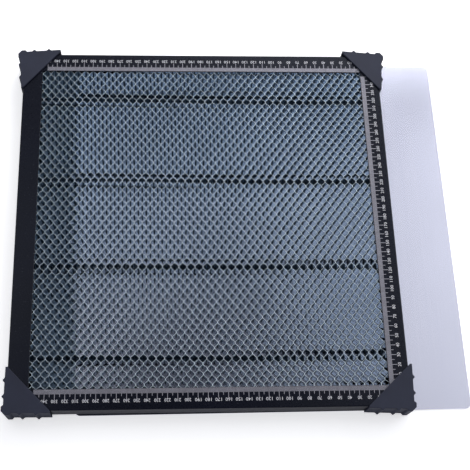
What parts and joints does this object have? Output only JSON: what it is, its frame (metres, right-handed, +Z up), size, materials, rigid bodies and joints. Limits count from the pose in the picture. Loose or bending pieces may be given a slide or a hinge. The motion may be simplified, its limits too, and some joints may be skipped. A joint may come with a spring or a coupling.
{
  "type": "aluminium honeycomb work bed",
  "caption": "Square aluminium honeycomb work bed: foil core in a black ruled frame with ribbed corner protectors, on a loose base plate slid out to one side.",
  "frame": {"origin": "on the floor under the middle of the bed, on the underside of the base plate", "axes": "+X to the right along the front rail, +Y from the front rail to the back rail, +Z up"},
  "size_m": [0.4727, 0.4102, 0.0279],
  "materials": {
    "powder_coat": "matte black powder coat",
    "protector_plastic": "fine moulded texture",
    "foil_aluminium": "bright rolled foil",
    "bar_paint": "matte black paint",
    "plate_aluminium": "mill finish, satin",
    "key_aluminium": "as cast",
    "zinc_steel": "zinc plated"
  },
  "bodies": {
    "root": {"rail_right": "powder_coat", "rail_back": "powder_coat", "rail_left": "powder_coat", "rail_front": "powder_coat", "corner_key_back_right": "key_aluminium", "corner_key_back_left": "key_aluminium", "corner_key_front_left": "key_aluminium", "corner_key_front_right": "key_aluminium", "corner_cap_back_right": "protector_plastic", "corner_cap_back_left": "protector_plastic", "corner_cap_front_left": "protector_plastic", "corner_cap_front_right": "protector_plastic", "support_bar_1": "bar_paint", "support_bar_2": "bar_paint", "support_bar_3": "bar_paint", "support_bar_4": "bar_paint", "bar_screw_left_1": "zinc_steel", "bar_screw_left_2": "zinc_steel", "bar_screw_left_3": "zinc_steel", "bar_screw_left_4": "zinc_steel", "bar_screw_right_1": "zinc_steel", "bar_screw_right_2": "zinc_steel", "bar_screw_right_3": "zinc_steel", "bar_screw_right_4": "zinc_steel", "honeycomb_core": "foil_aluminium", "base_plate": "plate_aluminium"}
  },
  "joints": []
}
